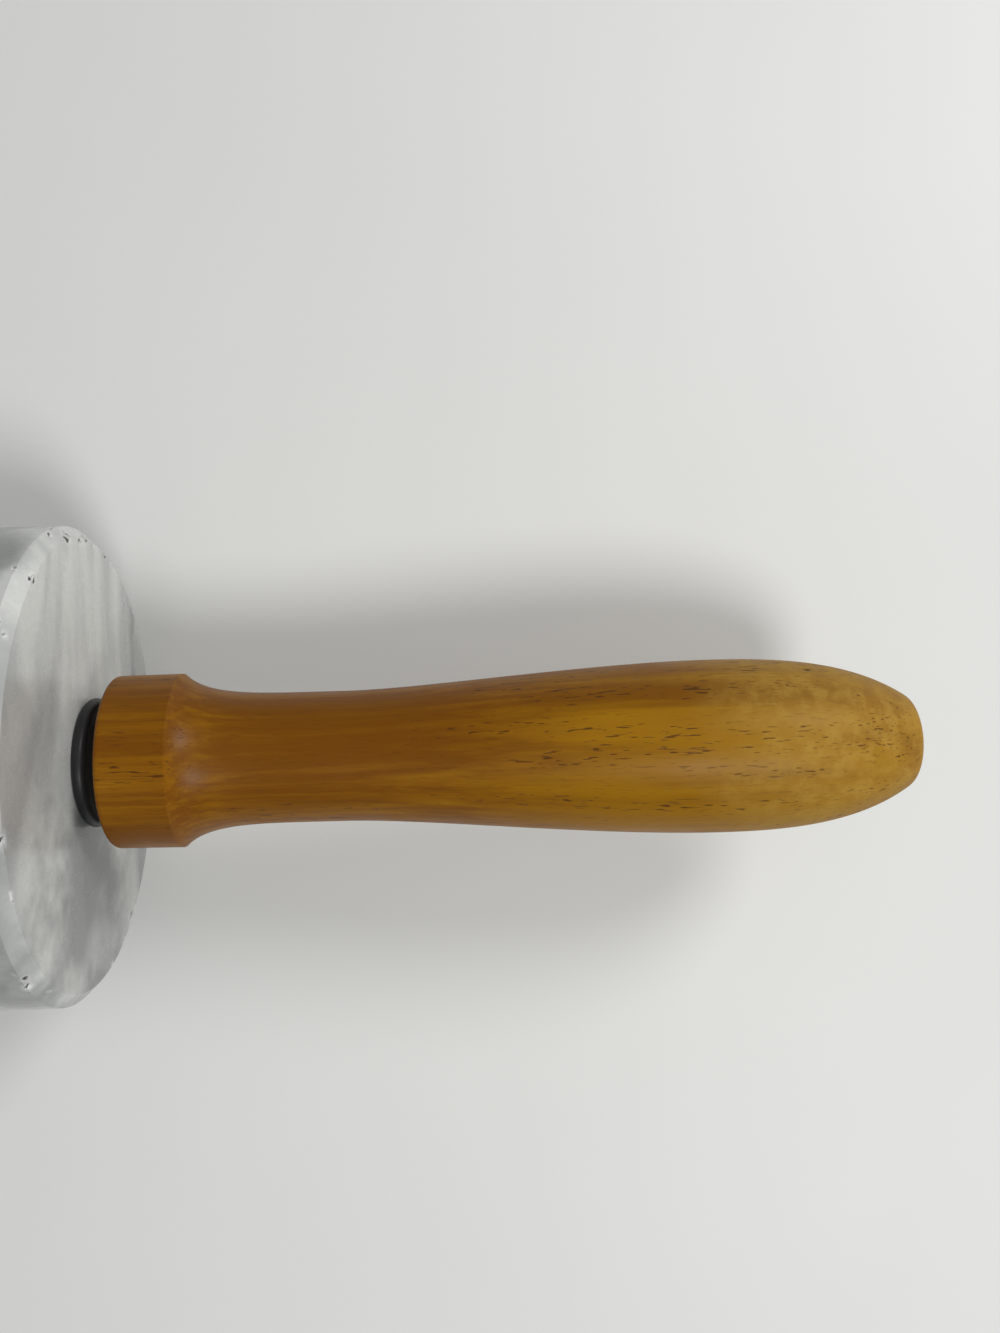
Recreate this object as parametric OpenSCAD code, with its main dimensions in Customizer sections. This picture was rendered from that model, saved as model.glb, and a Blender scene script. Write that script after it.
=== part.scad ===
// Marble rolling pin. A bored marble barrel turns on a steel rod between two turned wooden handles.
// The origin is the barrel's centre, on the spin axis. +X runs towards the right handle and +Z is up.

/* [Marble barrel] */
// Diameter of the barrel
barrel_d = 60; // [50:1:76]
// Length of the barrel between its end faces
barrel_len = 254; // [200:1:320]
// Width of the bevel ground on each end edge
edge_bevel = 1.5; // [0.5:0.1:3]
// Diameter of the hole drilled through the barrel
bore_d = 13; // [11.5:0.1:14.5]
// Width of the bevel at each mouth of that hole
bore_bevel = 0.4; // [0.2:0.1:0.8]

/* [Bushings] */
// Diameter of the flange that shows as a black ring
flange_d = 16.4; // [16:0.1:24]
// Thickness of the flange, whose rim is fully rounded
flange_t = 1.7; // [1.2:0.1:2.4]
// Length of the sleeve inside the barrel
sleeve_len = 14; // [8:0.5:25]
// Taper at the sleeve's inner end, which leads it into the hole
sleeve_lead = 0.8; // [0.3:0.1:1.2]
// Bevel at each mouth of the bushing's own bore
mouth_bevel = 0.5; // [0.2:0.1:0.8]

/* [Axle rod] */
// Diameter of the rod
rod_d = 8; // [7:0.1:9.5]
// Diameter of its threaded ends, over the thread
thread_d = 6; // [5:0.1:6.5]
// Length of each threaded end
thread_len = 16; // [10:0.5:19]
// Bevel at the tip of each threaded end
tip_bevel = 0.8; // [0.3:0.1:1.2]

/* [Thread inserts] */
// Outer diameter of the insert's body
insert_d = 10; // [9:0.1:11.5]
// Length of the insert with its flange
insert_len = 20; // [20:0.5:24]
// Diameter of the insert's flange, flush with the handle's inner face
insert_flange_d = 13; // [12:0.1:15]
// Thickness of that flange
insert_flange_t = 1.2; // [0.8:0.1:2]
// Width across flats of the key socket in the flange
key_width = 6.6; // [6.6:0.1:7.2]
// Depth of the key socket
key_depth = 4; // [2:0.5:6]

/* [Handles] */
// Diameter of the collar at its ridge, the crisp edge before the cove
collar_d = 22.1; // [19:0.1:28]
// How much narrower the collar is at its inner rim
collar_taper = 0.2; // [0:0.1:1]
// Length of the collar from its inner face to the ridge
collar_len = 8.4; // [5:0.1:14]
// Radius that softens the collar's inner rim
rim_round = 0.7; // [0.3:0.1:1.5]
// Length of the hollow cove from the ridge to the neck
cove_len = 20.2; // [14:0.1:30]
// Angle at which the cove leaves the ridge, measured from the axis
cove_angle = 45; // [25:1:60]
// Diameter of the neck, the thinnest place
neck_d = 16.7; // [15.5:0.1:19]
// Length of the swell from the neck to the belly
swell_len = 48.5; // [35:0.1:70]
// Diameter of the belly, the thickest place
belly_d = 22.5; // [19.5:0.1:30]
// Length of the nose from the belly to its shoulder
nose_len = 24.2; // [16:0.1:35]
// Diameter of the shoulder, where the nose turns in to the end
shoulder_d = 12.9; // [8:0.1:16]
// Angle of the nose at the shoulder, measured from the axis
shoulder_angle = 31.5; // [20:0.5:45]
// Length of the rounded end past the shoulder
end_len = 1.6; // [1:0.1:4]

/* [Clearances] */
// Radial running gap between the rod and a bushing
run_gap = 0.08; // [0.04:0.01:0.1]
// Free play along the axis between a bushing's flange and the handle
end_play = 1.8; // [0.6:0.1:3]
// Radial gap for the adhesive round a bushing's sleeve and round an insert
glue_gap = 0.05; // [0.02:0.01:0.08]
// Radial gap between the rod's threads and the insert's threads
thread_gap = 0.05; // [0.02:0.01:0.08]
// How far each handle is drilled past the insert
drill_extra = 1; // [0.5:0.5:4]

/* [Hidden] */

// Facets round the axis
round_fn = 96;
// Included angle of the twist drill that bores the handle
drill_point_angle = 118;
// How far a cutting tool reaches past the face it cuts
over = 1;

// Radii that the diameters above give
barrel_r = barrel_d / 2;
bore_r = bore_d / 2;
flange_r = flange_d / 2;
flange_round = flange_t / 2;
sleeve_r = bore_r - glue_gap;
rod_r = rod_d / 2;
bush_bore_r = rod_r + run_gap;
thread_r = thread_d / 2;
tapped_r = thread_r + thread_gap;
insert_r = insert_d / 2;
insert_flange_r = insert_flange_d / 2;
collar_r = collar_d / 2;
rim_r = collar_r - collar_taper / 2;
neck_r = neck_d / 2;
belly_r = belly_d / 2;
shoulder_r = shoulder_d / 2;

// Stations along +X, from the barrel's centre outwards
barrel_end = barrel_len / 2;
flange_face = barrel_end + flange_t;
handle_face = flange_face + end_play;
rod_end = handle_face + thread_len;

// Stations along the handle, from its inner face outwards
neck_at = collar_len + cove_len;
belly_at = neck_at + swell_len;
shoulder_at = belly_at + nose_len;
end_at = shoulder_at + end_len;

// How far each curve of the handle runs along its end tangents, as a share of its own length or drop
cove_start_pull = 1.15 * (collar_r - neck_r) / sin(cove_angle);
cove_end_pull = 0.51 * cove_len;
swell_start_pull = 0.22 * swell_len;
swell_end_pull = 0.34 * swell_len;
nose_start_pull = 0.35 * nose_len;
nose_end_pull = 0.34 * nose_len;
end_start_pull = 0.9 * end_len;
end_flat_r = 0.83 * shoulder_r;

// Points along a cubic curve with end points a and d and control points b and c, without its last point
function curve(a, b, c, d, steps) = [
    for (i = [0 : steps - 1])
        let (t = i / steps, u = 1 - t)
            u * u * u * a + 3 * u * u * t * b + 3 * u * t * t * c + t * t * t * d
];

// Points along an arc of a circle in the outline plane, both ends included
function arc(centre, radius, from, to, steps) = [
    for (i = [0 : steps])
        let (angle = from + (to - from) * i / steps)
            centre + radius * [cos(angle), sin(angle)]
];

// The handle's outline from its inner rim to the tip, as [distance from the inner face, radius]
handle_outline = concat(
    [[0, 0]],
    arc([rim_round, rim_r - rim_round], rim_round, 180, 90, 5),
    curve(
        [collar_len, collar_r],
        [collar_len, collar_r] + cove_start_pull * [cos(cove_angle), -sin(cove_angle)],
        [neck_at - cove_end_pull, neck_r],
        [neck_at, neck_r],
        12
    ),
    curve(
        [neck_at, neck_r],
        [neck_at + swell_start_pull, neck_r],
        [belly_at - swell_end_pull, belly_r],
        [belly_at, belly_r],
        16
    ),
    curve(
        [belly_at, belly_r],
        [belly_at + nose_start_pull, belly_r],
        [shoulder_at, shoulder_r] - nose_end_pull * [cos(shoulder_angle), -sin(shoulder_angle)],
        [shoulder_at, shoulder_r],
        14
    ),
    curve(
        [shoulder_at, shoulder_r],
        [shoulder_at, shoulder_r] + end_start_pull * [cos(shoulder_angle), -sin(shoulder_angle)],
        [end_at, end_flat_r],
        [end_at, 0],
        10
    ),
    [[end_at, 0]]
);

// Revolves an outline of [distance along X, radius] points about the X axis
module turned(outline) {
    rotate([0, 90, 0])
        rotate_extrude($fn = round_fn)
            polygon([for (p = outline) [p[1], p[0]]]);
}

// Places a piece that is drawn for the right end at the right end, or its mirror image at the left
module at_end(side) {
    mirror([side < 0 ? 1 : 0, 0, 0])
        children();
}

module marble_barrel() {
    color([0.86, 0.87, 0.85])
        turned([
            [-barrel_end, bore_r + bore_bevel],
            [-barrel_end, barrel_r - edge_bevel],
            [-barrel_end + edge_bevel, barrel_r],
            [barrel_end - edge_bevel, barrel_r],
            [barrel_end, barrel_r - edge_bevel],
            [barrel_end, bore_r + bore_bevel],
            [barrel_end - bore_bevel, bore_r],
            [-barrel_end + bore_bevel, bore_r]
        ]);
}

module bushing(side) {
    color([0.06, 0.06, 0.06])
        at_end(side)
            turned(concat(
                [
                    [barrel_end - sleeve_len, bush_bore_r + mouth_bevel],
                    [barrel_end - sleeve_len, sleeve_r - sleeve_lead / 2],
                    [barrel_end - sleeve_len + sleeve_lead, sleeve_r],
                    [barrel_end, sleeve_r]
                ],
                arc([barrel_end + flange_round, flange_r - flange_round], flange_round, 180, 0, 10),
                [
                    [flange_face, bush_bore_r + mouth_bevel],
                    [flange_face - mouth_bevel, bush_bore_r],
                    [barrel_end - sleeve_len + mouth_bevel, bush_bore_r]
                ]
            ));
}

module axle_rod() {
    color([0.70, 0.71, 0.73])
        turned([
            [-rod_end, 0],
            [-rod_end, thread_r - tip_bevel],
            [-rod_end + tip_bevel, thread_r],
            [-handle_face, thread_r],
            [-handle_face, rod_r],
            [handle_face, rod_r],
            [handle_face, thread_r],
            [rod_end - tip_bevel, thread_r],
            [rod_end, thread_r - tip_bevel],
            [rod_end, 0]
        ]);
}

module thread_insert(side) {
    color([0.78, 0.62, 0.30])
        at_end(side)
            difference() {
                turned([
                    [handle_face, tapped_r],
                    [handle_face, insert_flange_r - glue_gap],
                    [handle_face + insert_flange_t, insert_flange_r - glue_gap],
                    [handle_face + insert_flange_t, insert_r - glue_gap],
                    [handle_face + insert_len, insert_r - glue_gap],
                    [handle_face + insert_len, tapped_r]
                ]);
                translate([handle_face - over, 0, 0])
                    rotate([0, 90, 0])
                        cylinder(d = key_width / cos(30), h = key_depth + over, $fn = 6);
            }
}

module handle(side) {
    hole_depth = insert_len + drill_extra;
    color([0.68, 0.43, 0.10])
        at_end(side)
            translate([handle_face, 0, 0])
                difference() {
                    turned(handle_outline);
                    turned([
                        [-over, 0],
                        [-over, insert_flange_r],
                        [insert_flange_t, insert_flange_r],
                        [insert_flange_t, insert_r],
                        [hole_depth, insert_r],
                        [hole_depth + insert_r / tan(drill_point_angle / 2), 0]
                    ]);
                }
}

marble_barrel();
bushing(1);  // bushing_right
bushing(-1);  // bushing_left
axle_rod();
thread_insert(1);  // thread_insert_right
thread_insert(-1);  // thread_insert_left
handle(1);  // handle_right
handle(-1);  // handle_left
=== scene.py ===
"""Dresses a marble rolling pin in veined marble, varnished wood, plastic, steel and brass."""

import math

import bmesh
import bpy
from bpy.props import FloatProperty, FloatVectorProperty, IntProperty, PointerProperty
from mathutils import Matrix, Vector


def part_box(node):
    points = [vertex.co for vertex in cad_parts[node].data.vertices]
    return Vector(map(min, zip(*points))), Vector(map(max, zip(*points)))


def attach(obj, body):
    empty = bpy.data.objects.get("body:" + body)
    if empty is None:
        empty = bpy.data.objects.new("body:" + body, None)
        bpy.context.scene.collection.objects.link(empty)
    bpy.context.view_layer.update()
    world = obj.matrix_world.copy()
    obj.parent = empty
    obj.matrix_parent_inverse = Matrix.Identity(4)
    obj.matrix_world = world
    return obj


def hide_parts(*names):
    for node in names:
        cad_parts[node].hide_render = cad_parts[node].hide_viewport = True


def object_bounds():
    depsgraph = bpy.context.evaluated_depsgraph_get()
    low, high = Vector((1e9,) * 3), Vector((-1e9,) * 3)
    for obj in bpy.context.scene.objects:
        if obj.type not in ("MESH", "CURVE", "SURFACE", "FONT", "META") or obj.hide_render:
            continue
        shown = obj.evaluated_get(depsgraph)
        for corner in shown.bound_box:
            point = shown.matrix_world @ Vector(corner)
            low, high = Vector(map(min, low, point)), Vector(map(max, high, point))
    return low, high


bl_info = {
    "name": "Marble Rolling Pin",
    "version": (1, 0, 0),
    "blender": (4, 5, 0),
    "location": "3D View > Sidebar > Rolling Pin",
    "description": "Dresses a rolling pin with marble, wood, plastic and steel, and lights it",
    "category": "Object",
}

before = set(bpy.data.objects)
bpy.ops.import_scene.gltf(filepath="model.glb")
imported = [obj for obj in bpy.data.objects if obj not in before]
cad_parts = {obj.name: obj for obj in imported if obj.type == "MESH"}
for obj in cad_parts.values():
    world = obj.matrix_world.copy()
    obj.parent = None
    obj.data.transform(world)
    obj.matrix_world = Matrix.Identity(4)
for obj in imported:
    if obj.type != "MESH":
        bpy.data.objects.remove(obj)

MM = 0.001
CAD_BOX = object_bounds()

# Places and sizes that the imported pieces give
BARREL_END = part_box("marble_barrel")[1].x
BARREL_RADIUS = min(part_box("marble_barrel")[1].y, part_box("marble_barrel")[1].z)
FLANGE_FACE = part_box("bushing_right")[1].x
FLANGE_RADIUS = min(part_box("bushing_right")[1].y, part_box("bushing_right")[1].z)
SLEEVE_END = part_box("bushing_right")[0].x
ROD_RADIUS = min(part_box("axle_rod")[1].y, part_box("axle_rod")[1].z)
ROD_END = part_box("axle_rod")[1].x
INSERT_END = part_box("thread_insert_right")[1].x
INSERT_FLANGE_RADIUS = min(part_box("thread_insert_right")[1].y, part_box("thread_insert_right")[1].z)
HANDLE_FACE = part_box("handle_right")[0].x
HANDLE_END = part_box("handle_right")[1].x
BELLY_RADIUS = min(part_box("handle_right")[1].y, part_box("handle_right")[1].z)
TABLE_HEIGHT = CAD_BOX[0].z

# Facets round the axis for the large, the middling and the small pieces
ROUND_SEGMENTS = 256
FLANGE_SEGMENTS = 160
SMALL_SEGMENTS = 96
# Points closer than this are joined where a turned shape closes on itself
WELD = 0.001 * MM
# How far the pieces at the left end are turned, so that no mark repeats in view
LEFT_TURN = math.radians(140)
# The attribute that marks dented places, which the materials read
DENT = "dent"
# Height of the picture in pixels, and width of the camera's sensor in millimetres
PICTURE_HEIGHT = 1333.0
SENSOR_WIDTH = 36.0
# Included angle of the drill that bored the handles
DRILL_POINT = math.radians(118)


def length(name, description, millimetres):
    """A length setting, with its default given in millimetres."""
    return FloatProperty(
        name=name, description=description, default=millimetres * MM,
        min=0.0, unit="LENGTH", precision=5,
    )


def angle(name, description, radians):
    """An angle setting."""
    return FloatProperty(
        name=name, description=description, default=radians, subtype="ANGLE", unit="ROTATION"
    )


def number(name, description, value):
    """A plain number setting."""
    return FloatProperty(name=name, description=description, default=value, min=0.0)


def direction(name, description, value):
    """A direction setting."""
    return FloatVectorProperty(
        name=name, description=description, default=value, size=3, subtype="DIRECTION"
    )


def fixed_seed(value):
    """The setting that fixes where scattered marks fall."""
    return IntProperty(name="Seed", description="Fixes where the marks fall", default=value)


def colour(name, description, value):
    """A colour setting in linear values."""
    return FloatVectorProperty(
        name=name, description=description, default=value, size=3, min=0.0, max=1.0, subtype="COLOR"
    )


class RollingPinBarrel(bpy.types.PropertyGroup):
    """Sizes and colours of the marble barrel and its bushings."""

    edge_bevel: length("Edge bevel", "Width of the bevel on each end edge", 1.5)
    bore_radius: length("Bore radius", "Radius of the hole through the barrel", 6.5)
    bore_bevel: length("Bore bevel", "Width of the bevel at each mouth of the hole", 0.4)
    chip_size: length("Chip size", "Radius of the largest chips along the end edges", 0.9)
    chip_depth: length("Chip depth", "Depth of the largest chips", 0.3)
    glue_gap: length("Glue gap", "Radial gap between a sleeve and the marble", 0.05)
    sleeve_lead: length("Sleeve lead", "Taper at the sleeve's inner end", 0.8)
    mouth_bevel: length("Mouth bevel", "Bevel at each mouth of the bushing's bore", 0.5)
    run_gap: length("Running gap", "Radial gap between the rod and a bushing", 0.08)
    pale: colour("Pale marble", "Colour of the clear marble", (0.66, 0.67, 0.645))
    cloud: colour("Cloudy marble", "Colour of the soft grey clouds", (0.37, 0.38, 0.375))
    vein: colour("Vein", "Colour of the dark veins", (0.17, 0.18, 0.18))
    # This chip colour is a fresh break and also a painted glint on the crystals of the break
    broken_and_glinting: colour("Broken marble", "Colour of a fresh break", (0.82, 0.83, 0.81))
    grime: colour("Grime", "Colour of the dirt in the chips", (0.035, 0.03, 0.024))
    plastic: colour("Plastic", "Colour of the bushings", (0.012, 0.012, 0.013))
    rubbed: colour("Rubbed plastic", "Colour where a bushing is rubbed", (0.035, 0.035, 0.036))


class RollingPinHandle(bpy.types.PropertyGroup):
    """Sizes and colours of the turned handles."""

    collar_radius: length("Collar radius", "Radius of the collar at its ridge", 11.05)
    rim_radius: length("Rim radius", "Radius of the collar at its inner rim", 10.95)
    rim_round: length("Rim rounding", "Radius that softens the inner rim", 0.7)
    collar_length: length("Collar length", "From the inner face to the ridge", 8.4)
    cove_length: length("Cove length", "From the ridge to the neck", 20.2)
    cove_angle: angle("Cove angle", "Slope at which the cove leaves the ridge", math.radians(45))
    neck_radius: length("Neck radius", "Radius at the thinnest place", 8.35)
    swell_length: length("Swell length", "From the neck to the belly", 48.5)
    shoulder_radius: length("Shoulder radius", "Radius where the nose turns in to the end", 6.45)
    shoulder_angle: angle("Shoulder angle", "Slope of the nose at its shoulder", math.radians(31.5))
    end_length: length("End length", "Length of the rounded end past the shoulder", 1.6)
    seat_radius: length("Insert seat radius", "Radius of the recess for the insert's flange", 6.5)
    seat_depth: length("Insert seat depth", "Depth of that recess", 1.2)
    hole_radius: length("Hole radius", "Radius of the drilled hole", 5.0)
    hole_depth: length("Hole depth", "Depth of the drilled hole before its point", 21.0)
    nick_size: length("Nick size", "Radius of the largest nicks at the nose", 0.55)
    nick_depth: length("Nick depth", "Depth of the largest nicks", 0.12)
    amber: colour("Amber", "Colour of the varnished wood", (0.262, 0.104, 0.0008))
    brown: colour("Brown", "Colour of the dark grain", (0.178, 0.060, 0.0006))
    gold: colour("Gold", "Colour of the pale grain", (0.345, 0.162, 0.0010))
    # This colour is the unvarnished wood at the nose and also a painted highlight where the lamp's sheen
    # falls
    bare_and_highlit: colour("Bare wood", "Colour where the varnish is worn at the nose", (0.440, 0.262, 0.044))
    pore: colour("Pores", "Colour of the pores", (0.055, 0.016, 0.002))
    nick: colour("Nicks", "Colour of the dirt in the nicks", (0.035, 0.018, 0.006))


class RollingPinStage(bpy.types.PropertyGroup):
    """The view, the lamps and the table."""

    camera_past: length("Camera X", "Distance of the camera past the marble's end face", 46.4)
    camera_aside: length("Camera Y", "Distance of the camera from the spin axis along Y", 11.0)
    camera_height: length("Camera Z", "Height of the camera above the spin axis", 142.6)
    camera_lean: angle("Lean", "How far the view leans towards the handle's end", 0.043)
    camera_roll: angle("Roll", "How far the view is rolled", 0.024)
    focal_pixels: number("Focal length", "Focal length in pixels of the picture", 1100.0)
    table: colour("Table", "Colour of the table", (0.815, 0.822, 0.80))
    dust: colour("Dust", "Colour of the specks on the table", (0.2, 0.19, 0.17))
    sky: colour("Sky", "Colour of the even light", (1.0, 1.0, 0.99))
    daylight: number("Daylight", "Strength of the even light", 0.28)
    key_watts: number("Key power", "Power of the lamp towards -Y", 1.75)
    key_direction: direction("Key direction", "Where that lamp hangs", (0.36, -0.43, 1.0))
    fill_watts: number("Fill power", "Power of the lamp towards +Y", 1.65)
    fill_direction: direction("Fill direction", "Where that lamp hangs", (0.85, 0.76, 1.0))


class Nodes:
    """Adds nodes to a tree and links their sockets, so that a tree can be written as a formula."""

    def __init__(self, tree):
        self.tree = tree

    def add(self, kind, inputs=None, **settings):
        """Adds one node. A value in inputs is a socket to link or a plain value to set."""
        node = self.tree.nodes.new(kind)
        for name, value in settings.items():
            setattr(node, name, value)
        for key, value in (inputs or {}).items():
            self.feed(node.inputs[key], value)
        return node

    def feed(self, socket, value):
        """Links another socket to this one, or sets its value."""
        if isinstance(value, bpy.types.NodeSocket):
            self.tree.links.new(value, socket)
        else:
            socket.default_value = value

    def math(self, operation, first, second=0.0):
        """The result of one operation on two numbers."""
        return self.add("ShaderNodeMath", {0: first, 1: second}, operation=operation).outputs[0]

    def plus(self, first, second):
        """The sum of two numbers."""
        return self.math("ADD", first, second)

    def minus(self, first, second):
        """The first number less the second."""
        return self.math("SUBTRACT", first, second)

    def times(self, first, *others):
        """The product of two or more numbers."""
        for other in others:
            first = self.math("MULTIPLY", first, other)
        return first

    def over(self, first, second):
        """The first number divided by the second."""
        return self.math("DIVIDE", first, second)

    def absolute(self, value):
        """A number without its sign."""
        return self.math("ABSOLUTE", value)

    def most(self, first, second):
        """The larger of two numbers."""
        return self.math("MAXIMUM", first, second)

    def vector(self, operation, first, second=(0.0, 0.0, 0.0)):
        """The vector result of one operation on two vectors."""
        node = self.add("ShaderNodeVectorMath", {0: first, 1: second}, operation=operation)
        return node.outputs["Vector"]

    def scaled(self, vector, factor):
        """A vector times a number."""
        node = self.add("ShaderNodeVectorMath", {0: vector, "Scale": factor}, operation="SCALE")
        return node.outputs["Vector"]

    def reach(self, vector):
        """The length of a vector."""
        return self.add("ShaderNodeVectorMath", {0: vector}, operation="LENGTH").outputs["Value"]

    def split(self, vector):
        """The three parts of a vector."""
        return self.add("ShaderNodeSeparateXYZ", {"Vector": vector}).outputs

    def join(self, x, y, z):
        """A vector from its three parts."""
        return self.add("ShaderNodeCombineXYZ", {"X": x, "Y": y, "Z": z}).outputs["Vector"]

    def step(self, value, start, stop, low=0.0, high=1.0):
        """A smooth step from low to high as value goes from start to stop."""
        return self.add(
            "ShaderNodeMapRange",
            {"Value": value, "From Min": start, "From Max": stop, "To Min": low, "To Max": high},
            interpolation_type="SMOOTHSTEP",
        ).outputs["Result"]

    def noise(self, vector, scale, detail=3.0, roughness=0.5, output="Fac"):
        """Cloud noise."""
        return self.add(
            "ShaderNodeTexNoise",
            {"Vector": vector, "Scale": scale, "Detail": detail, "Roughness": roughness},
        ).outputs[output]

    def stretch(self, vector, scale, turn=(0.0, 0.0, 0.0), shift=(0.0, 0.0, 0.0)):
        """A pattern's coordinates, turned, moved and stretched."""
        return self.add(
            "ShaderNodeMapping",
            {"Vector": vector, "Scale": scale, "Rotation": turn, "Location": shift},
        ).outputs["Vector"]

    def mix(self, amount, first, second, blend="MIX"):
        """One colour over another."""
        node = self.add("ShaderNodeMix", data_type="RGBA", blend_type=blend)
        self.feed(node.inputs[0], amount)
        self.feed(node.inputs[6], first)
        self.feed(node.inputs[7], second)
        return node.outputs[2]


def opaque(rgb):
    """A colour setting as the four values that a socket takes."""
    return (*rgb, 1.0)


def new_tree(name, kind, inputs, outputs):
    """An empty node group with these sockets, each given as (name, socket type, default)."""
    tree = bpy.data.node_groups.new(name, kind)
    for label, socket_type, default in inputs:
        socket = tree.interface.new_socket(label, in_out="INPUT", socket_type=socket_type)
        if default is not None:
            socket.default_value = default
    for label, socket_type in outputs:
        tree.interface.new_socket(label, in_out="OUTPUT", socket_type=socket_type)
    return tree


def finish_geometry(nodes, source, geometry):
    """Ends a geometry tree: real geometry with the material that the tree was given."""
    real = nodes.add("GeometryNodeRealizeInstances", {"Geometry": geometry}).outputs["Geometry"]
    painted = nodes.add(
        "GeometryNodeSetMaterial", {"Geometry": real, "Material": source.outputs["Material"]}
    ).outputs["Geometry"]
    nodes.add("NodeGroupOutput", {"Geometry": painted})


def lathe_tree():
    """Revolves an outline of points (distance along X, radius) about the X axis."""
    tree = new_tree(
        "Lathe", "GeometryNodeTree",
        [
            ("Geometry", "NodeSocketGeometry", None),
            ("Segments", "NodeSocketInt", ROUND_SEGMENTS),
            ("Material", "NodeSocketMaterial", None),
        ],
        [("Geometry", "NodeSocketGeometry")],
    )
    nodes = Nodes(tree)
    source = nodes.add("NodeGroupInput")
    outline = source.outputs["Geometry"]
    segments = source.outputs["Segments"]
    rings = nodes.add(
        "GeometryNodeAttributeDomainSize", {"Geometry": outline}, component="MESH"
    ).outputs["Point Count"]
    around = nodes.plus(segments, 1.0)
    grid = nodes.add(
        "GeometryNodeMeshGrid", {"Vertices X": rings, "Vertices Y": around}
    ).outputs["Mesh"]
    index = nodes.add("GeometryNodeInputIndex").outputs["Index"]
    ring = nodes.math("FLOOR", nodes.over(nodes.plus(index, 0.5), around))
    turn = nodes.minus(index, nodes.times(ring, around))
    swing = nodes.over(nodes.times(turn, math.tau), segments)
    position = nodes.add("GeometryNodeInputPosition").outputs["Position"]
    station = nodes.split(nodes.add(
        "GeometryNodeSampleIndex", {"Geometry": outline, "Value": position, "Index": ring},
        data_type="FLOAT_VECTOR",
    ).outputs["Value"])
    place = nodes.join(
        station["X"],
        nodes.times(station["Y"], nodes.math("COSINE", swing)),
        nodes.times(station["Y"], nodes.math("SINE", swing)),
    )
    turned = nodes.add(
        "GeometryNodeSetPosition", {"Geometry": grid, "Position": place}
    ).outputs["Geometry"]
    closed = nodes.add(
        "GeometryNodeMergeByDistance", {"Geometry": turned, "Distance": WELD}
    ).outputs["Geometry"]
    finish_geometry(nodes, source, closed)
    return tree


def thread_tree():
    """Cuts a helical thread into a turned piece between two distances from the middle."""
    tree = new_tree(
        "Screw thread", "GeometryNodeTree",
        [
            ("Geometry", "NodeSocketGeometry", None),
            ("Start", "NodeSocketFloat", 0.0),
            ("Stop", "NodeSocketFloat", 0.0),
            ("Pitch", "NodeSocketFloat", 1.0 * MM),
            ("Depth", "NodeSocketFloat", 0.5 * MM),
            ("Inner radius", "NodeSocketFloat", 0.0),
            ("Material", "NodeSocketMaterial", None),
        ],
        [("Geometry", "NodeSocketGeometry")],
    )
    nodes = Nodes(tree)
    source = nodes.add("NodeGroupInput")
    start, stop = source.outputs["Start"], source.outputs["Stop"]
    pitch, depth = source.outputs["Pitch"], source.outputs["Depth"]
    x, y, z = nodes.split(nodes.add("GeometryNodeInputPosition").outputs["Position"])
    radial = nodes.join(0.0, y, z)

    # The groove is a triangle wave along X that moves on by one pitch with each turn
    winding = nodes.over(nodes.math("ARCTAN2", z, y), math.tau)
    phase = nodes.math("FRACT", nodes.minus(nodes.over(x, pitch), winding))
    groove = nodes.times(nodes.absolute(nodes.minus(phase, 0.5)), 2.0)

    # It fades in and out over one pitch at its ends, and leaves the inside alone
    from_middle = nodes.absolute(x)
    run_in = nodes.step(from_middle, start, nodes.plus(start, pitch))
    run_out = nodes.step(from_middle, nodes.minus(stop, pitch), stop, 1.0, 0.0)
    outside = nodes.math("GREATER_THAN", nodes.reach(radial), source.outputs["Inner radius"])
    cut = nodes.times(nodes.times(run_in, run_out), nodes.times(groove, outside))

    inwards = nodes.scaled(nodes.vector("NORMALIZE", radial), nodes.times(cut, nodes.times(depth, -1.0)))
    threaded = nodes.add(
        "GeometryNodeSetPosition", {"Geometry": source.outputs["Geometry"], "Offset": inwards}
    ).outputs["Geometry"]
    finish_geometry(nodes, source, threaded)
    return tree


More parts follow.
